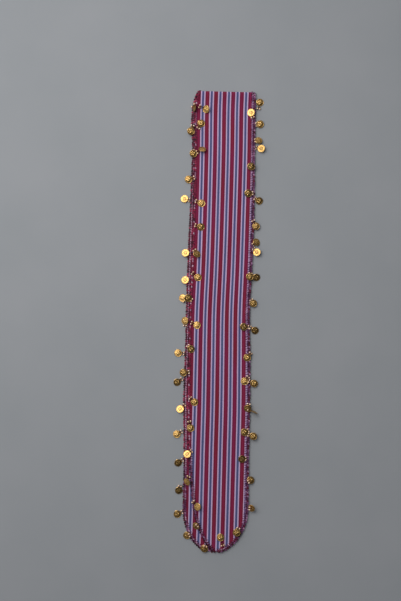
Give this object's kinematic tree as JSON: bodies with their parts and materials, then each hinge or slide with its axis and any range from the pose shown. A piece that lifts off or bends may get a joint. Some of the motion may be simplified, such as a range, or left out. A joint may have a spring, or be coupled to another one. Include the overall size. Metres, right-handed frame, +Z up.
{
  "type": "sequin bandana",
  "caption": "Long striped woven head tie with round ends, folded across its middle and laid flat, edged in crochet with small gilt pendants.",
  "frame": {"origin": "on the under arm's flat underside, at mid-length of the folded band and near its middle across", "axes": "+X across the band to the right, +Y along the band towards the fold, +Z up from the surface it lies on"},
  "size_m": [0.1137, 0.6145, 0.0046],
  "materials": {
    "woven_cloth": "striped warp-faced weave",
    "edging_thread": "crocheted cotton thread",
    "gilt": "stamped gilt"
  },
  "bodies": {
    "root": {"band_cloth": "woven_cloth", "edging_upper_left": "edging_thread", "edging_upper_right": "edging_thread", "edging_under_left": "edging_thread", "edging_under_right": "edging_thread"}
  },
  "joints": []
}
